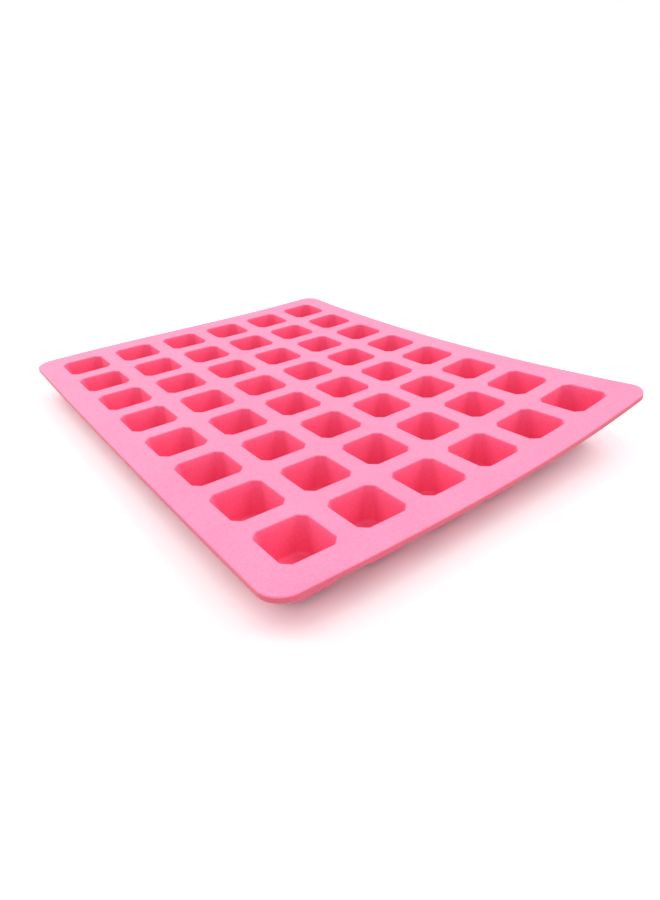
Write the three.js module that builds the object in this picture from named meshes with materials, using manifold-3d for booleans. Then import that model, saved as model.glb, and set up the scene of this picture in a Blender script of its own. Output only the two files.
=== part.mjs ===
// Flexible silicone tray mould with a 6 by 8 grid of small square cavities.
//
// Millimetres, +Z up. The origin is at the centre of the footprint, on the plane that the
// cup bottoms stand on. X runs across the columns, Y along the rows.
//
// The tray is one continuous moulding. It is divided here along its own features: one cell
// for each cavity, a thin flex web between each two rows, and a rim at the front and rear.
// Neighbouring regions share exactly the same face.

import * as THREE from 'three';
import * as BufferGeometryUtils from 'three/addons/utils/BufferGeometryUtils.js';
import Module from 'manifold-3d';

// ---- driving dimensions, mm ------------------------------------------------------------
const COLS = 6; // cavities across, along X
const ROWS = 8; // cavities along Y
const PITCH = 27.0; // centre to centre, both ways
const LENGTH_Y = 230.0; // overall
const WIDTH_X = 176.0; // overall
const HEIGHT = 14.25; // overall, cup bottom to deck top
const CORNER_R = 8.0; // plan radius of the tray's four outer corners

const DECK_T = 2.25; // deck and rim thickness

const MOUTH = 19.5; // cavity width at the deck
const FLOOR = 16.6; // cavity width at its floor
const CHAMFER = 2.5; // leg of the 45 degree corner, from mouth to floor
const DEPTH = 13.0; // cavity depth
const FLOOR_RISE = 0.7; // small cove between the cavity's walls and floor
const WALL = 1.6; // cup wall
const FOOT_BREAK = 0.9; // break round the bottom of each cup

const TILE_HALF_Y = 11.5; // a cell's half length along Y; the flex webs fill what is left

// ---- derived ---------------------------------------------------------------------------
const DECK_Z = HEIGHT - DECK_T; // underside of the deck
const FLOOR_Z = HEIGHT - DEPTH; // cavity floor
const SLOPE = (MOUTH - FLOOR) / 2 / DEPTH; // draft of the cavity walls, mm per mm
const WEB_Y = PITCH - 2 * TILE_HALF_Y; // flex web width along Y

const colX = (c) => (c - (COLS - 1) / 2) * PITCH;
const rowY = (r) => (r - (ROWS - 1) / 2) * PITCH;
const innerHalf = (z) => MOUTH / 2 - SLOPE * (HEIGHT - z);

const wasm = await Module();
wasm.setup();

// ---- helpers ---------------------------------------------------------------------------

// A square of this half width with its corners cut off at 45 degrees, anticlockwise.
function octagon(half, leg) {
  const h = half, k = half - leg;
  return [[h, -k], [h, k], [k, h], [-k, h], [-h, k], [-h, -k], [-k, -h], [k, -h]];
}

// A stack of outlines, each with the same number of points, as one closed solid: the first
// outline is extruded in steps, and each step is then moved to its own outline and height.
function stack(rings) {
  const shape = new THREE.Shape(rings[0].pts.map(([x, y]) => new THREE.Vector2(x, y)));
  const steps = rings.length - 1;
  const geometry = new THREE.ExtrudeGeometry(shape, { depth: steps, steps, bevelEnabled: false });
  const p = geometry.attributes.position;
  for (let i = 0; i < p.count; i++) {
    const level = Math.round(p.getZ(i));
    const k = rings[0].pts.findIndex(([x, y]) => Math.hypot(x - p.getX(i), y - p.getY(i)) < 1e-4);
    const [x, y] = rings[level].pts[k];
    p.setXYZ(i, x, y, rings[level].z);
  }
  return geometry;
}

function solid(geometry) {
  const g = geometry.clone();
  g.deleteAttribute('normal');
  g.deleteAttribute('uv');
  const merged = BufferGeometryUtils.mergeVertices(g.index ? g.toNonIndexed() : g, 1e-5);
  return new wasm.Manifold(new wasm.Mesh({
    numProp: 3,
    vertProperties: new Float32Array(merged.attributes.position.array),
    triVerts: new Uint32Array(merged.index.array),
  }));
}

function toGeometry(manifold) {
  const mesh = manifold.getMesh();
  const geometry = new THREE.BufferGeometry();
  geometry.setAttribute('position', new THREE.BufferAttribute(new Float32Array(mesh.vertProperties), 3));
  geometry.setIndex(new THREE.BufferAttribute(new Uint32Array(mesh.triVerts), 1));
  geometry.computeVertexNormals();
  return geometry;
}

function box(x0, x1, y0, y1, z0, z1) {
  const g = new THREE.BoxGeometry(x1 - x0, y1 - y0, z1 - z0);
  g.translate((x0 + x1) / 2, (y0 + y1) / 2, (z0 + z1) / 2);
  return g;
}

const deckSilicone = (shade) => new THREE.MeshStandardMaterial({
  color: new THREE.Color(shade), roughness: 0.62, metalness: 0,
});
const CELL_SHADE = '#f58fb0';
const WEB_SHADE = '#f79ab8';
const RIM_SHADE = '#f395b2';

// ---- one cup and its deck --------------------------------------------------------------

// The cup's outside: broken at the foot, then drafted up into the deck.
function cupOutside() {
  const at = (z) => innerHalf(z) + WALL;
  return stack([
    { z: 0, pts: octagon(at(0) - FOOT_BREAK, CHAMFER - 0.1) },
    { z: FOOT_BREAK, pts: octagon(at(FOOT_BREAK), CHAMFER + 0.35) },
    { z: DECK_Z + 0.5, pts: octagon(at(DECK_Z + 0.5), CHAMFER + 0.6) },
  ]);
}

// The cavity: a small cove at the floor, then drafted up to the mouth and past the deck.
function cavity() {
  const top = HEIGHT + 1;
  return stack([
    { z: FLOOR_Z, pts: octagon(FLOOR / 2 - FLOOR_RISE, CHAMFER - 0.4) },
    { z: FLOOR_Z + FLOOR_RISE, pts: octagon(innerHalf(FLOOR_Z + FLOOR_RISE), CHAMFER - 0.1) },
    { z: top, pts: octagon(innerHalf(top), CHAMFER) },
  ]);
}

const cup = solid(cupOutside());
const hollow = solid(cavity());

// A cell reaches from mid-land to mid-land, or to the tray's edge on its outer side.
function cellGeometry(xLow, xHigh) {
  const deck = solid(box(xLow, xHigh, -TILE_HALF_Y, TILE_HALF_Y, DECK_Z, HEIGHT));
  return toGeometry(deck.add(cup).subtract(hollow));
}

// ---- front and rear rim ----------------------------------------------------------------

// A strip with two rounded outer corners. side is -1 at the front and +1 at the rear.
function rimGeometry(side) {
  const inner = side * (rowY(ROWS - 1) + TILE_HALF_Y);
  const outer = side * LENGTH_Y / 2;
  const w = WIDTH_X / 2;
  const shape = new THREE.Shape();
  shape.moveTo(-w, inner);
  shape.lineTo(w, inner);
  shape.lineTo(w, outer - side * CORNER_R);
  shape.absarc(w - CORNER_R, outer - side * CORNER_R, CORNER_R, 0, side * Math.PI / 2, side < 0);
  shape.lineTo(-w + CORNER_R, outer);
  shape.absarc(-w + CORNER_R, outer - side * CORNER_R, CORNER_R, side * Math.PI / 2, side * Math.PI, side < 0);
  shape.closePath();
  const geometry = new THREE.ExtrudeGeometry(shape, { depth: DECK_T, bevelEnabled: false, curveSegments: 10 });
  geometry.translate(0, 0, DECK_Z);
  return toGeometry(solid(geometry));
}

// ---- assembly --------------------------------------------------------------------------

const group = new THREE.Group();

function addMesh(name, geometry, shade, x = 0, y = 0) {
  const mesh = new THREE.Mesh(geometry, deckSilicone(shade));
  mesh.name = name;
  mesh.position.set(x, y, 0);
  group.add(mesh);
}

const overhang = WIDTH_X / 2 - colX(COLS - 1);
const leftCell = cellGeometry(-overhang, PITCH / 2);
const midCell = cellGeometry(-PITCH / 2, PITCH / 2);
const rightCell = cellGeometry(-PITCH / 2, overhang);

for (let r = 0; r < ROWS; r++) {
  for (let c = 0; c < COLS; c++) {
    const geometry = c === 0 ? leftCell : c === COLS - 1 ? rightCell : midCell;
    addMesh(`cavity_r${r + 1}_c${c + 1}`, geometry, CELL_SHADE, colX(c), rowY(r));
  }
}

for (let r = 0; r < ROWS - 1; r++) {
  const g = new THREE.BoxGeometry(WIDTH_X, WEB_Y, DECK_T);
  g.translate(0, 0, DECK_Z + DECK_T / 2);
  addMesh(`flex_web_${r + 1}`, g, WEB_SHADE, 0, rowY(r) + PITCH / 2);
}

addMesh('front_rim', rimGeometry(-1), RIM_SHADE);
addMesh('rear_rim', rimGeometry(1), RIM_SHADE);

export default group;
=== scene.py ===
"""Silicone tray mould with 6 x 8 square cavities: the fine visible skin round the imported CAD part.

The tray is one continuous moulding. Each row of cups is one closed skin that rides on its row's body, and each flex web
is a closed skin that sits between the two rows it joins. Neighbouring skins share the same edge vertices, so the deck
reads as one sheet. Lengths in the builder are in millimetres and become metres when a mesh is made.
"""
import math

import bpy
import numpy as np
from mathutils import Matrix, Vector


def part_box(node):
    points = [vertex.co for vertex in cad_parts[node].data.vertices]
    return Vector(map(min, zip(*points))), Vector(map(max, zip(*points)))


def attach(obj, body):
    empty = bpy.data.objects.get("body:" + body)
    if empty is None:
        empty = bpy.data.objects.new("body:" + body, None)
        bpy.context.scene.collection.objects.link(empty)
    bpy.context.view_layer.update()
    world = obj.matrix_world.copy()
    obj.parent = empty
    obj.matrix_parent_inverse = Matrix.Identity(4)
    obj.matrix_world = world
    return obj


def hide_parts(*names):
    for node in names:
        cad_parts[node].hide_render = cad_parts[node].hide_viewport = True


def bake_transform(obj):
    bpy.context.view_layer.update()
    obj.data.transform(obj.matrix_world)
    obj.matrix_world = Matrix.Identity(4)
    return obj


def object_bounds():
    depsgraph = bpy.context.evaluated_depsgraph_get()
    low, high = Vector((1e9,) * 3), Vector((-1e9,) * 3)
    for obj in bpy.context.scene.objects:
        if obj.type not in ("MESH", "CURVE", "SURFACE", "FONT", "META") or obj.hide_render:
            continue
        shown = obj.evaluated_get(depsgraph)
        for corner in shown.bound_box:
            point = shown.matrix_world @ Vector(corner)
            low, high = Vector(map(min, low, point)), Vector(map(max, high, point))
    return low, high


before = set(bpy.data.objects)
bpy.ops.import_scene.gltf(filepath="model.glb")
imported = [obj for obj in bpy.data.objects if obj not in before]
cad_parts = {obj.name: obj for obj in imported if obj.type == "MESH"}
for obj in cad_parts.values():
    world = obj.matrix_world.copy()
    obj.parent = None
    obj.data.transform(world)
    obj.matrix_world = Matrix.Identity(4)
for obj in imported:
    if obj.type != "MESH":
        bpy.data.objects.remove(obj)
cad_lo, cad_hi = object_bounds()
scene = bpy.context.scene

# ---- sizes, taken from the frame -------------------------------------------------------
MM = 0.001
HALF_X = cad_hi.x / MM
HALF_Y = cad_hi.y / MM
H = cad_hi.z / MM                                  # deck top
COLS, ROWS = 6, 8
web_lo, web_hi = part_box("flex_web_4")
DECK_Z = web_lo.z / MM                             # deck underside
WEB_HALF = (web_hi.y - web_lo.y) / 2 / MM
c_lo, c_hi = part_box("cavity_r4_c3")
PITCH = (c_hi.x - c_lo.x) / MM
TILE_Y = (c_hi.y - c_lo.y) / 2 / MM
END_X = HALF_X - (COLS - 1) / 2 * PITCH            # an end column's reach past its centre
END_Y = HALF_Y - (ROWS - 1) / 2 * PITCH
MOUTH_H, DEPTH, FLOOR_HALF = 9.75, 13.0, 8.3
CHAMFER, WALL, CORNER_R = 2.5, 1.6, 8.0
FLOOR_Z = H - DEPTH
SLOPE = (MOUTH_H - FLOOR_HALF) / DEPTH
ALPHA = math.atan(SLOPE)

R_LIP, R_COVE, R_ROOT, R_FOOT = 0.42, 1.2, 0.34, 1.0
R_TOP, R_BOT = 0.5, 0.3                            # rim edge, top and bottom
R_VERT, R_MOUTH = 2.0, 1.2                        # the cavity's upright edges, lower down and at the mouth

col_x = lambda c: (c - (COLS - 1) / 2) * PITCH
row_y = lambda r: (r - (ROWS - 1) / 2) * PITCH

# ---- the sheet's natural curl ----------------------------------------------------------
# A silicone sheet this thin never lies quite flat: it sags a little in the middle, its edges rise, and its front right
# corner stands up most. Height in mm over the flat deck, and the same sheet turned by its own slope, so that each cup
# stays square to the deck above it.
CX, CY = HALF_X, HALF_Y
K = dict(c=-2.1897, x=-2.4993, y=2.3905, xx=0.4864, yy=0.7450, corner=17.4742, xy=3.3038, xxx=1.3675, yyy=-0.2142,
         xxy=-0.1100, xyy=-0.8739)


def curl(x, y):
    X, Y = x / CX, y / CY
    a, b = (1 + X) / 2, (1 - Y) / 2
    ab = np.maximum(a * b, 1e-9)
    w = (K["c"] + K["x"] * X + K["y"] * Y + K["xx"] * X * X + K["yy"] * Y * Y + K["corner"] * ab**2 + K["xy"] * X * Y
         + K["xxx"] * X**3 + K["yyy"] * Y**3 + K["xxy"] * X * X * Y + K["xyy"] * X * Y * Y)
    dx = (K["x"] + 2 * K["xx"] * X + K["corner"] * ab * b + K["xy"] * Y
          + 3 * K["xxx"] * X * X + 2 * K["xxy"] * X * Y + K["xyy"] * Y * Y) / CX
    dy = (K["y"] + 2 * K["yy"] * Y - K["corner"] * ab * a + K["xy"] * X
          + 3 * K["yyy"] * Y * Y + K["xxy"] * X * X + 2 * K["xyy"] * X * Y) / CY
    return w, dx, dy


MID = (H + DECK_Z) / 2
LIFT = 0.0


def bent(v):
    """Points of the flat tray, carried to the curled one."""
    v = np.asarray(v, float)
    w, dx, dy = curl(v[:, 0], v[:, 1])
    rel = v[:, 2] - MID
    return np.stack([v[:, 0] - rel * dx, v[:, 1] - rel * dy, v[:, 2] + w + LIFT], -1)


_g = np.array([(col_x(c) + sx * 9.0, row_y(r) + sy * 9.0, 0.0) for r in range(ROWS) for c in range(COLS)
               for sx in (-1, 1) for sy in (-1, 1)])
LIFT = -float(bent(_g)[:, 2].min())

# ---- loops -----------------------------------------------------------------------------
NA, NS = 5, 6                                      # segments in an upright edge, and along a side
M = 2 + 2 * NA + NS
N = 4 * M


def octagon(h, leg, rc):
    """A loop of N points round a square with cut corners, from the middle of the front right corner, anticlockwise."""
    k = h - leg
    t = rc * math.tan(math.pi / 8)
    q = [(h - leg / 2, -(h - leg / 2))]
    for i in range(NA + 1):
        a = math.radians(-45 + 45 * i / NA)
        q.append((h - rc + rc * math.cos(a), -k + t + rc * math.sin(a)))
    y0, y1 = -k + t, k - t
    g = min(0.06, 0.4 / (y1 - y0))
    for s in [g] + list(np.linspace(g, 1 - g, NS - 1))[1:-1] + [1 - g]:
        q.append((h, y0 + (y1 - y0) * s))
    for i in range(NA + 1):
        a = math.radians(45 * i / NA)
        q.append((h - rc + rc * math.cos(a), k - t + rc * math.sin(a)))
    q = np.array(q)
    assert len(q) == M, (len(q), M)
    out = [q]
    for _ in range(3):
        out.append(np.stack([-out[-1][:, 1], out[-1][:, 0]], -1))
    return np.concatenate(out)


def offset_leg(d):
    return CHAMFER + (2 - math.sqrt(2)) * d


def border(box, outer, inset):
    """The tile's edge as a loop of N points with outward normals. box is x0, x1, y0, y1; outer holds R, B, L, F for the
    sides that are the tray's own edge, which are pulled in by inset, and two that meet are rounded."""
    x0, x1, y0, y1 = box
    if "L" in outer: x0 += inset
    if "R" in outer: x1 -= inset
    if "F" in outer: y0 += inset
    if "B" in outer: y1 -= inset
    R = CORNER_R - inset
    corners = {"FR": (x1, y0), "BR": (x1, y1), "BL": (x0, y1), "FL": (x0, y0)}
    start = {"R": "FR", "B": "BR", "L": "BL", "F": "FL"}
    end = {"R": "BR", "B": "BL", "L": "FL", "F": "FR"}
    direction = {"R": (0, 1), "B": (-1, 0), "L": (0, -1), "F": (1, 0)}
    normal = {"R": (1, 0), "B": (0, 1), "L": (-1, 0), "F": (0, -1)}
    turn0 = {"R": -45, "B": 45, "L": 135, "F": 225}
    pts, nrm, flag = [], [], []
    NC = 7
    for side in "RBLF":
        a, b = np.array(corners[start[side]], float), np.array(corners[end[side]], float)
        d, n = np.array(direction[side], float), np.array(normal[side], float)
        rs = all(s in outer for s in start[side])
        re = all(s in outer for s in end[side])
        P, Q = [], []
        if rs:
            c = a + d * R - n * R
            for i in range(NC):
                th = math.radians(turn0[side] + 45 * i / NC)
                u = np.array([math.cos(th), math.sin(th)])
                P.append(c + R * u); Q.append(u)
            s, e = a + d * R, b
            left = M - NC
            for i in range(left):
                P.append(s + (e - s) * i / left); Q.append(n)
        elif re:
            s, e = a, b - d * R
            left = M - NC
            for i in range(left):
                P.append(s + (e - s) * i / left); Q.append(n)
            c = b - d * R - n * R
            for i in range(NC):
                th = math.radians(turn0[side] + 45 + 45 * i / NC)
                u = np.array([math.cos(th), math.sin(th)])
                P.append(c + R * u); Q.append(u)
        else:
            for i in range(M):
                P.append(a + (b - a) * i / M); Q.append(n)
        pts += P; nrm += Q; flag += [side] * M
    return np.array(pts), np.array(nrm), flag


# ---- mesh building ---------------------------------------------------------------------
class Builder:
    """Collects quads by position and welds them."""

    def __init__(self):
        self.v, self.f, self.tone, self.n = [], [], [], 0

    def add(self, pts, tone=0.0):
        pts = np.asarray(pts, float)
        s = self.n
        self.v.append(pts)
        self.tone.append(np.full(len(pts), tone) if np.isscalar(tone) else np.asarray(tone, float))
        self.n += len(pts)
        return list(range(s, s + len(pts)))

    def face(self, *ids):
        self.f.append(ids)

    def strip(self, a, b, closed=True):
        n = len(a)
        for i in range(n if closed else n - 1):
            j = (i + 1) % n
            self.f.append((a[i], a[j], b[j], b[i]))

    def patch(self, loop_ids, loop_pts, tone, flip=False):
        """Fills a loop of 4M points with an M by M grid."""
        L = np.asarray(loop_pts, float)
        ids = loop_ids
        g = np.zeros((M + 1, M + 1), int)
        P = np.zeros((M + 1, M + 1, 3))
        e = lambda k: k % N
        # right side goes up, top goes left, left goes down, bottom goes right
        R_ = [e(i) for i in range(0, M + 1)]
        B_ = [e(M + i) for i in range(0, M + 1)]
        L_ = [e(2 * M + i) for i in range(0, M + 1)]
        F_ = [e(3 * M + i) for i in range(0, M + 1)]
        right = L[R_]; top = L[B_][::-1]; left = L[L_][::-1]; bottom = L[F_]
        rid = [ids[k] for k in R_]; tid = [ids[k] for k in B_][::-1]; lid = [ids[k] for k in L_][::-1]; bid = [ids[k] for k in F_]
        c00, c10, c11, c01 = left[0], right[0], right[-1], left[-1]
        new = []
        for j in range(1, M):
            v = j / M
            for i in range(1, M):
                u = i / M
                p = ((1 - v) * bottom[i] + v * top[i] + (1 - u) * left[j] + u * right[j]
                     - ((1 - u) * (1 - v) * c00 + u * (1 - v) * c10 + u * v * c11 + (1 - u) * v * c01))
                new.append(p)
        nid = self.add(np.array(new), tone)
        for j in range(M + 1):
            for i in range(M + 1):
                if j == 0: g[j, i] = bid[i]
                elif j == M: g[j, i] = tid[i]
                elif i == 0: g[j, i] = lid[j]
                elif i == M: g[j, i] = rid[j]
                else: g[j, i] = nid[(j - 1) * (M - 1) + i - 1]
        for j in range(M):
            for i in range(M):
                q = (g[j, i], g[j, i + 1], g[j + 1, i + 1], g[j + 1, i])
                self.f.append(q[::-1] if flip else q)

    def mesh(self, name, sharp_sides=()):
        v = np.concatenate(self.v)
        tone = np.concatenate(self.tone)
        key = np.round(v * 2000).astype(np.int64)   # 0.0005 mm
        _, first, inverse = np.unique(key, axis=0, return_index=True, return_inverse=True)
        inverse = inverse.ravel()
        flat = v[first]
        faces, seen = [], set()
        for f in self.f:
            g = []
            for k in f:
                w = int(inverse[k])
                if not g or g[-1] != w:
                    g.append(w)
            if len(g) > 1 and g[0] == g[-1]:
                g.pop()
            if len(set(g)) < 3:
                continue
            faces.append(tuple(g))
        m = bpy.data.meshes.new(name)
        co = bent(flat) * MM
        m.from_pydata(co.tolist(), [], faces)
        m.validate()
        # this per-point attribute carries the painted shade to the material: 0 on the deck, up to 1 in the cups, down
        # to -1 on the rim's side
        a = m.attributes.new("tone", "FLOAT", "POINT")
        a.data.foreach_set("value", tone[first].astype(np.float32))
        a = m.attributes.new("rest", "FLOAT_VECTOR", "POINT")
        a.data.foreach_set("vector", (flat * MM).astype(np.float32).ravel())
        m.polygons.foreach_set("use_smooth", [True] * len(m.polygons))
        # the hidden end walls meet the visible surface at a sharp edge, which mark_sharp marks; the face normals read
        # here are not used
        normals = np.zeros(len(m.polygons) * 3, np.float32)
        m.polygons.foreach_get("normal", normals)
        o = bpy.data.objects.new(name, m)
        scene.collection.objects.link(o)
        m.update()
        return o, flat


def ring3(xy, z):
    return np.c_[xy, np.full(len(xy), z)]


def tile(b, cx, cy, box, outer, walls):
    """One cup, its deck, and the tray's edge where the tile has one. walls names sides closed by a hidden end wall."""
    at = np.array([cx, cy, 0.0])
    # top: border, land, lip, wall, cove, floor
    T, Tn, flag = border(box, outer, R_TOP)
    rings, tones = [], []
    hc = MOUTH_H + R_LIP * math.cos(ALPHA) - SLOPE * R_LIP * (1 - math.sin(ALPHA))
    guard = octagon(hc + 0.25, offset_leg(hc + 0.25 - MOUTH_H), R_MOUTH + hc + 0.25 - MOUTH_H)
    # Painted shade: each ring's tone paints its colour, 0 on the deck, rising down the lip and the walls to 1, the
    # deepest red, on the cup's floor.
    rings.append(ring3(T, H)); tones.append(0.0)
    for s in (0.3, 0.6, 0.85):
        rings.append(ring3(T + (guard - T) * s, H)); tones.append(0.0)
    rings.append(ring3(guard, H)); tones.append(0.0)
    nl = 5
    for i in range(nl + 1):
        phi = (math.pi / 2 - ALPHA) * i / nl
        h = hc - R_LIP * math.sin(phi)
        rings.append(ring3(octagon(h, offset_leg(h - MOUTH_H), max(0.1, R_MOUTH + h - MOUTH_H)), H - R_LIP + R_LIP * math.cos(phi)))
        tones.append(0.02 + 0.23 * (i / nl) ** 2)
    z_a = rings[-1][0, 2]
    zc = FLOOR_Z + R_COVE
    z_b = zc - R_COVE * math.sin(ALPHA)
    for s in (0.04, 0.12, 0.28, 0.5, 0.75, 0.95):
        z = z_a + (z_b - z_a) * s
        h = MOUTH_H - SLOPE * (H - z)
        t = min(1.0, (H - z) / 4.0)
        rings.append(ring3(octagon(h, CHAMFER, R_MOUTH + (R_VERT - R_MOUTH) * t * t * (3 - 2 * t)), z))
        tones.append(0.25 + 0.75 * min(1.0, (H - z) / 4.0) ** 0.6)
    hc2 = MOUTH_H - SLOPE * (H - zc + R_COVE * math.sin(ALPHA)) - R_COVE * math.cos(ALPHA)
    nv = 6
    for i in range(nv + 1):
        psi = ALPHA + (math.pi / 2 - ALPHA) * i / nv
        h = hc2 + R_COVE * math.cos(psi)
        d = h - (MOUTH_H - SLOPE * (H - z_b))
        rings.append(ring3(octagon(h, CHAMFER + (2 - math.sqrt(2)) * d, R_VERT), zc - R_COVE * math.sin(psi)))
        tones.append(1.0)
    d = hc2 - 0.4 - (MOUTH_H - SLOPE * (H - z_b))
    rings.append(ring3(octagon(hc2 - 0.4, CHAMFER + (2 - math.sqrt(2)) * d, R_VERT), FLOOR_Z)); tones.append(1.0)
    ids = [b.add(r + at, t) for r, t in zip(rings, tones)]
    for p, q in zip(ids, ids[1:]):
        b.strip(p, q)
    b.patch(ids[-1], rings[-1] + at, 1.0)
    top_border = ids[0]

    # underside: border, deck, root, cup, foot, bottom
    U, Un, _ = border(box, outer, R_BOT)
    # Painted shade: the underside rings get tones of -0.25 to -0.35, which paint the deck's underside and the cups'
    # outsides a darker pink.
    under, under_shade = [ring3(U, DECK_Z)], [-0.25]
    zr = DECK_Z - R_ROOT
    hc3 = MOUTH_H + WALL - SLOPE * (H - zr - R_ROOT * math.sin(ALPHA)) + R_ROOT * math.cos(ALPHA)
    out_leg = lambda h: CHAMFER + 0.6 + 0.586 * (h - MOUTH_H - WALL)
    rv = R_VERT + WALL
    root0 = octagon(hc3, CHAMFER + 0.9, rv)
    for s in (0.4, 0.8):
        under.append(ring3(U + (root0 - U) * s, DECK_Z)); under_shade.append(-0.25)
    for i in range(5):
        a = ALPHA + (math.pi / 2 - ALPHA) * (1 - i / 4)
        h = hc3 - R_ROOT * math.cos(a)
        under.append(ring3(octagon(h, CHAMFER + 0.9 - 0.3 * i / 4, rv), zr + R_ROOT * math.sin(a))); under_shade.append(-0.3)
    zf = R_FOOT
    z0, z1 = zr + R_ROOT * math.sin(ALPHA), zf - R_FOOT * math.sin(ALPHA)
    for s in (0.06, 0.25, 0.5, 0.75, 0.94):
        z = z0 + (z1 - z0) * s
        under.append(ring3(octagon(MOUTH_H + WALL - SLOPE * (H - z), CHAMFER + 0.6, rv), z)); under_shade.append(-0.35)
    hc4 = MOUTH_H + WALL - SLOPE * (H - zf + R_FOOT * math.sin(ALPHA)) - R_FOOT * math.cos(ALPHA)
    for i in range(6):
        psi = ALPHA + (math.pi / 2 - ALPHA) * i / 5
        h = hc4 + R_FOOT * math.cos(psi)
        under.append(ring3(octagon(h, CHAMFER + 0.6 + 0.586 * (h - hc4 - R_FOOT), rv * 0.9), zf - R_FOOT * math.sin(psi))); under_shade.append(-0.35)
    under.append(ring3(octagon(hc4 - 0.4, CHAMFER + 0.6 - 0.586 * (R_FOOT + 0.4), rv * 0.8), 0.0)); under_shade.append(-0.35)
    uid = [b.add(r + at, t) for r, t in zip(under, under_shade)]
    for p, q in zip(uid, uid[1:]):
        b.strip(q, p)
    b.patch(uid[-1], under[-1] + at, -0.35, flip=True)
    low_border = uid[0]

    # the tray's own edge
    def profile(i):
        """Edge points at loop index i, from the top border to the lower one."""
        base, n = T[i], Tn[i]
        p = []
        for k in range(1, 6):
            a = math.pi / 2 * k / 5
            p.append((*(base + n * R_TOP * math.sin(a)), H - R_TOP + R_TOP * math.cos(a)))
        z_hi, z_lo = H - R_TOP, DECK_Z + R_BOT
        for s in (0.12, 0.5, 0.88):
            p.append((*(base + n * R_TOP), z_hi + (z_lo - z_hi) * s))
        for k in range(0, 4):
            a = math.pi / 2 * k / 4
            p.append((*(base + n * (R_TOP - R_BOT + R_BOT * math.cos(a))), z_lo - R_BOT * math.sin(a)))
        return np.array(p)

    # Painted shade: the rim's outer side darkens from the deck pink at its top edge to the darkest pink, tone -1, down
    # its side.
    tone_e = [0.0, 0.0, -0.15, -0.5, -0.85] + [-1.0] * 7
    # the outer stretch: consecutive indices whose side is outer, both end points included
    runs, i = [], 0
    order = "RBLF"
    groups = []
    for s in order:
        if s in outer:
            if groups and groups[-1][-1] == order[(order.index(s) - 1) % 4]:
                groups[-1].append(s)
            else:
                groups.append([s])
    if len(groups) > 1 and groups[0][0] == "R" and groups[-1][-1] == "F":
        groups[0] = groups.pop() + groups[0]
    for g in groups:
        start = order.index(g[0]) * M
        idx = [(start + k) % N for k in range(len(g) * M + 1)]
        prof = []
        for n_i, k in enumerate(idx):
            if n_i == len(idx) - 1 and True:
                # the last point belongs to the next side, whose normal isn't this edge's
                nn = {"R": (1, 0), "B": (0, 1), "L": (-1, 0), "F": (0, -1)}[g[-1]]
                keep = Tn[k].copy(); Tn[k] = nn
                prof.append(profile(k) + at)
                Tn[k] = keep
            else:
                prof.append(profile(k) + at)
        pid = [b.add(p, tone_e) for p in prof]
        for (ka, pa), (kb, pb) in zip(zip(idx, pid), zip(idx[1:], pid[1:])):
            chain_a = [top_border[ka], *pa, low_border[ka]]
            chain_b = [top_border[kb], *pb, low_border[kb]]
            for u in range(len(chain_a) - 1):
                b.face(chain_a[u], chain_a[u + 1], chain_b[u + 1], chain_b[u])
        for side in walls:
            s0 = order.index(side) * M
            ends = [(s0 % N), ((s0 + M) % N)]
            for k, pa in ((idx[0], pid[0]), (idx[-1], pid[-1])):
                if k in ends:
                    loop = [top_border[k], *pa, low_border[k]]
                    # the wall's end, outside the last quad
                    b.face(*(loop if k == ends[0] else loop[::-1]))
    for side in walls:
        s0 = order.index(side) * M
        for k in range(M):
            a, c = (s0 + k) % N, (s0 + k + 1) % N
            b.face(top_border[a], low_border[a], low_border[c], top_border[c])
    return T


def limits(lo_open, hi_open, reach_lo, reach_hi, half):
    return (-reach_lo if lo_open else -half), (reach_hi if hi_open else half)


def row_piece(r):
    b = Builder()
    for c in range(COLS):
        outer = ""
        x0, x1, y0, y1 = -PITCH / 2, PITCH / 2, -TILE_Y, TILE_Y
        if c == 0: outer += "L"; x0 = -END_X
        if c == COLS - 1: outer += "R"; x1 = END_X
        if r == 0: outer += "F"; y0 = -END_Y
        if r == ROWS - 1: outer += "B"; y1 = END_Y
        walls = ("B" if r < ROWS - 1 else "") + ("F" if r > 0 else "")
        tile(b, col_x(c), row_y(r), (x0, x1, y0, y1), outer, walls)
    return b


def line_x(inset):
    """The x of every vertex along a row's straight edge, as the tiles place them."""
    xs = []
    for c in range(COLS):
        x0, x1 = -PITCH / 2, PITCH / 2
        if c == 0: x0 = -END_X + inset
        if c == COLS - 1: x1 = END_X - inset
        xs += [col_x(c) + x0 + (x1 - x0) * i / M for i in range(M)]
    xs.append(HALF_X - inset)
    return np.array(xs)


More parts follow.
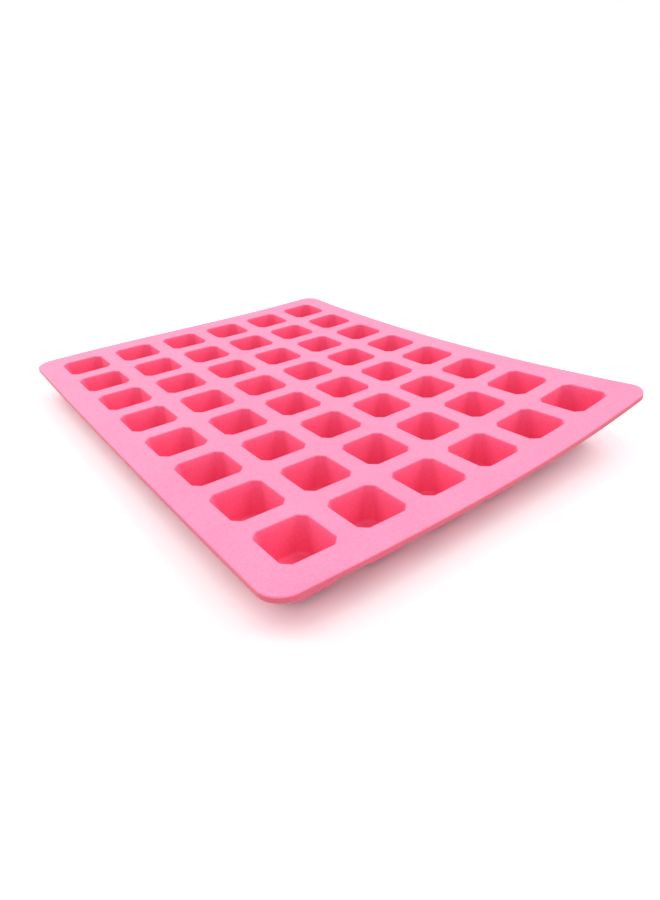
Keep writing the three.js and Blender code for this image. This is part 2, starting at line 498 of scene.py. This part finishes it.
def web_piece(k):
    """The flex web between row k and row k + 1."""
    b = Builder()
    yc = row_y(k) + PITCH / 2
    NY = 12
    ys = np.linspace(-WEB_HALF, WEB_HALF, NY + 1) + yc
    tx, ux = line_x(R_TOP), line_x(R_BOT)
    top = [b.add(np.c_[tx, np.full(len(tx), y), np.full(len(tx), H)], 0.0) for y in ys]
    # Painted shade: the web's underside gets tone -0.25, a darker pink.
    low = [b.add(np.c_[ux, np.full(len(ux), y), np.full(len(ux), DECK_Z)], -0.25) for y in ys]
    for a, c in zip(top, top[1:]):
        for i in range(len(tx) - 1):
            b.face(a[i], a[i + 1], c[i + 1], c[i])
    for a, c in zip(low, low[1:]):
        for i in range(len(ux) - 1):
            b.face(a[i], c[i], c[i + 1], a[i + 1])
    # Painted shade: the rim's outer side darkens from the deck pink at its top edge to the darkest pink, tone -1, down
    # its side.
    tone_e = [0.0, 0.0, -0.15, -0.5, -0.85] + [-1.0] * 7
    edges = {}
    for side in (-1, 1):
        chains = []
        for j, y in enumerate(ys):
            base = side * (HALF_X - R_TOP)
            p = []
            for q in range(1, 6):
                a = math.pi / 2 * q / 5
                p.append((base + side * R_TOP * math.sin(a), y, H - R_TOP + R_TOP * math.cos(a)))
            z_hi, z_lo = H - R_TOP, DECK_Z + R_BOT
            for s in (0.12, 0.5, 0.88):
                p.append((base + side * R_TOP, y, z_hi + (z_lo - z_hi) * s))
            for q in range(0, 4):
                a = math.pi / 2 * q / 4
                p.append((base + side * (R_TOP - R_BOT + R_BOT * math.cos(a)), y, z_lo - R_BOT * math.sin(a)))
            pid = b.add(np.array(p), tone_e)
            e = 0 if side < 0 else -1
            chains.append([top[j][e], *pid, low[j][e]])
        for a, c in zip(chains, chains[1:]):
            for u in range(len(a) - 1):
                b.face(*((a[u], a[u + 1], c[u + 1], c[u]) if side > 0 else (a[u], c[u], c[u + 1], a[u + 1])))
        edges[side] = chains
    for j, flip in ((0, False), (NY, True)):
        for i in range(len(tx) - 1):
            q = (top[j][i], low[j][i], low[j][i + 1], top[j][i + 1])
            b.face(*(q[::-1] if flip else q))
        for side in (-1, 1):
            loop = edges[side][j]
            b.face(*(loop if (side < 0) == (not flip) else loop[::-1]))
    return b


def mark_sharp(o, y_planes):
    """The hidden end walls, at y_planes in the flat tray, meet the visible surface at sharp edges."""
    m = o.data
    rest = np.zeros(len(m.vertices) * 3, np.float32)
    m.attributes["rest"].data.foreach_get("vector", rest)
    ry = rest.reshape(-1, 3)[:, 1] / MM
    on_plane = np.zeros(len(ry), bool)
    for y in y_planes:
        on_plane |= np.abs(ry - y) < 1e-3
    wall = [all(on_plane[v] for v in p.vertices) and
            any(all(abs(ry[v] - y) < 1e-3 for v in p.vertices) for y in y_planes) for p in m.polygons]
    edge_faces = {}
    for p, w in zip(m.polygons, wall):
        for e in p.edge_keys:
            edge_faces.setdefault(e, []).append(w)
    sharp = {e for e, ws in edge_faces.items() if any(ws) and not all(ws)}
    for e in m.edges:
        if e.key in sharp:
            e.use_edge_sharp = True
    for p, w in zip(m.polygons, wall):
        if w:
            p.use_smooth = False


# ---- material --------------------------------------------------------------------------
def silicone(name):
    mat = bpy.data.materials.new(name)
    mat.use_nodes = True
    nt = mat.node_tree
    nt.nodes.clear()
    new = nt.nodes.new
    link = nt.links.new
    out = new("ShaderNodeOutputMaterial")
    sh = new("ShaderNodeBsdfPrincipled")
    link(sh.outputs["BSDF"], out.inputs["Surface"])
    rest = new("ShaderNodeAttribute"); rest.attribute_name = "rest"
    tone = new("ShaderNodeAttribute"); tone.attribute_name = "tone"

    def noise(scale, detail=2.0, rough=0.5):
        n = new("ShaderNodeTexNoise")
        n.inputs["Scale"].default_value = scale
        n.inputs["Detail"].default_value = detail
        n.inputs["Roughness"].default_value = rough
        link(rest.outputs["Vector"], n.inputs["Vector"])
        return n

    def ramp(src, stops):
        r = new("ShaderNodeValToRGB")
        r.color_ramp.elements[0].position, r.color_ramp.elements[0].color = stops[0][0], (*stops[0][1], 1)
        r.color_ramp.elements[1].position, r.color_ramp.elements[1].color = stops[-1][0], (*stops[-1][1], 1)
        for p, c in stops[1:-1]:
            e = r.color_ramp.elements.new(p); e.color = (*c, 1)
        link(src, r.inputs["Fac"])
        return r

    def mix(kind, fac, a, b_):
        m = new("ShaderNodeMix"); m.data_type = "RGBA"; m.blend_type = kind
        if isinstance(fac, (int, float)): m.inputs["Factor"].default_value = fac
        else: link(fac, m.inputs["Factor"])
        for sock, v in ((m.inputs[6], a), (m.inputs[7], b_)):
            if isinstance(v, tuple): sock.default_value = (*v, 1)
            else: link(v, sock)
        return m.outputs[2]

    # Painted shade: the tray is one even pink, the deck colour. The ramp below paints it deeper red down the cup walls
    # and floors, standing in for shade and for red light carried through the translucent silicone, and a darker, duller
    # pink on the rim's outer side, the underside and the cups' outsides, standing in for shade.
    deck, lip, deep_shade, side = (0.92, 0.185, 0.322), (0.89, 0.150, 0.305), (0.86, 0.104, 0.228), (0.56, 0.078, 0.126)
    half = new("ShaderNodeMath"); half.operation = "MULTIPLY_ADD"
    half.inputs[1].default_value, half.inputs[2].default_value = 0.5, 0.5
    link(tone.outputs["Fac"], half.inputs[0])
    base = ramp(half.outputs[0], [(0.0, side), (0.5, deck), (0.625, lip), (1.0, deep_shade)])
    cloud = noise(38.0, 3.0, 0.55)
    c1 = ramp(cloud.outputs["Fac"], [(0.3, (0.965, 0.94, 0.955)), (0.7, (1.03, 1.05, 1.03))])
    col = mix("MULTIPLY", 1.0, base.outputs["Color"], c1.outputs["Color"])
    grain = noise(1500.0, 3.0, 0.65)
    c2 = ramp(grain.outputs["Fac"], [(0.28, (0.93, 0.83, 0.87)), (0.72, (1.03, 1.15, 1.11))])
    col = mix("MULTIPLY", 1.0, col, c2.outputs["Color"])
    # a few specks of dust caught by the surface
    vor = new("ShaderNodeTexVoronoi"); vor.inputs["Scale"].default_value = 95.0
    vor.inputs["Randomness"].default_value = 1.0
    link(rest.outputs["Vector"], vor.inputs["Vector"])
    dot = ramp(vor.outputs["Distance"], [(0.0, (1, 1, 1)), (0.035, (1, 1, 1)), (0.055, (0, 0, 0))])
    pick = noise(23.0, 0.0, 0.5)
    rare = ramp(pick.outputs["Fac"], [(0.54, (0, 0, 0)), (0.57, (1, 1, 1))])
    speck = mix("MULTIPLY", 1.0, dot.outputs["Color"], rare.outputs["Color"])
    dim = new("ShaderNodeMath"); dim.operation = "MULTIPLY"; dim.inputs[1].default_value = 0.55
    link(speck, dim.inputs[0])
    col = mix("MIX", dim.outputs[0], col, (0.55, 0.22, 0.36))
    link(col, sh.inputs["Base Color"])

    rg = new("ShaderNodeMapRange")
    rg.inputs["To Min"].default_value, rg.inputs["To Max"].default_value = 0.50, 0.66
    link(noise(120.0, 3.0).outputs["Fac"], rg.inputs["Value"])
    link(rg.outputs["Result"], sh.inputs["Roughness"])
    sh.inputs["IOR"].default_value = 1.41
    sh.inputs["Sheen Weight"].default_value = 0.12
    sh.inputs["Sheen Roughness"].default_value = 0.5
    sh.inputs["Sheen Tint"].default_value = (1.0, 0.80, 0.88, 1)

    b1 = new("ShaderNodeBump"); b1.inputs["Strength"].default_value = 0.22; b1.inputs["Distance"].default_value = 0.00006
    link(noise(1700.0, 3.0, 0.6).outputs["Fac"], b1.inputs["Height"])
    b2 = new("ShaderNodeBump"); b2.inputs["Strength"].default_value = 0.25; b2.inputs["Distance"].default_value = 0.0006
    link(noise(70.0, 2.0, 0.5).outputs["Fac"], b2.inputs["Height"])
    link(b2.outputs["Normal"], b1.inputs["Normal"])
    link(b1.outputs["Normal"], sh.inputs["Normal"])
    return mat


pink = silicone("silicone_pink")

# ---- pieces ----------------------------------------------------------------------------
for r in range(ROWS):
    o, _ = row_piece(r).mesh(f"row_{r + 1}_skin")
    planes = []
    if r > 0: planes.append(row_y(r) - TILE_Y)
    if r < ROWS - 1: planes.append(row_y(r) + TILE_Y)
    mark_sharp(o, planes)
    o.data.materials.append(pink)
    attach(o, f"row_{r + 1}")
    names = [f"cavity_r{r + 1}_c{c + 1}" for c in range(COLS)]
    if r == 0: names.append("front_rim")
    if r == ROWS - 1: names.append("rear_rim")
    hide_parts(*names)

for k in range(ROWS - 1):
    o, _ = web_piece(k).mesh(f"flex_web_{k + 1}_skin")
    yc = row_y(k) + PITCH / 2
    mark_sharp(o, [yc - WEB_HALF, yc + WEB_HALF])
    o.data.materials.append(pink)
    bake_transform(o)
    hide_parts(f"flex_web_{k + 1}")

# ---- floor, light, camera --------------------------------------------------------------
fm = bpy.data.materials.new("floor_white")
fm.use_nodes = True
fb = fm.node_tree.nodes["Principled BSDF"]
fb.inputs["Base Color"].default_value = (0.88, 0.88, 0.88, 1)
fb.inputs["Roughness"].default_value = 0.9
bpy.ops.mesh.primitive_plane_add(size=60, location=(0, 0, 0))
floor = bpy.context.object
floor.name = "floor"
floor.data.materials.append(fm)

world = bpy.data.worlds.new("studio")
scene.world = world
world.use_nodes = True
world.node_tree.nodes["Background"].inputs["Color"].default_value = (1, 1, 1, 1)
world.node_tree.nodes["Background"].inputs["Strength"].default_value = 1.0


def sun(name, toward, strength, spread, color=(1, 1, 1)):
    """Light from a direction, as wide as spread degrees, so its shadows are soft."""
    d = bpy.data.lights.new(name, "SUN")
    d.energy, d.angle, d.color = strength, math.radians(spread), color
    o = bpy.data.objects.new(name, d)
    scene.collection.objects.link(o)
    o.rotation_mode = "QUATERNION"
    o.rotation_quaternion = Vector(toward).to_track_quat("Z", "Y")
    return o


sun("key_right", (0.85, -0.28, 0.95), 1.55, 38)
sun("key_left", (-0.33, 0.85, 0.95), 1.55, 38)

P = PITCH * MM
AZ, EL, ROLL, DIST = math.radians(-36.019), math.radians(29.023), math.radians(-2.453), 8.0028 * P
target = Vector((-1.0251 * P, -2.1777 * P, (H + LIFT) * MM))
back = Vector((math.sin(AZ) * math.cos(EL), -math.cos(AZ) * math.cos(EL), math.sin(EL)))
right = (-back).cross(Vector((0, 0, 1))).normalized()
up = right.cross(-back)
r2 = right * math.cos(ROLL) + up * math.sin(ROLL)
u2 = -right * math.sin(ROLL) + up * math.cos(ROLL)
cd = bpy.data.cameras.new("camera")
cam = bpy.data.objects.new("camera", cd)
scene.collection.objects.link(cam)
cd.sensor_width = 36.0
cd.lens = 594.32 * 36.0 / 900.0
cd.clip_start = 0.005
cam.matrix_world = Matrix.Translation(target + back * DIST) @ Matrix((r2, u2, back)).transposed().to_4x4()
scene.camera = cam

scene.view_settings.view_transform = "Standard"
scene.view_settings.look = "None"
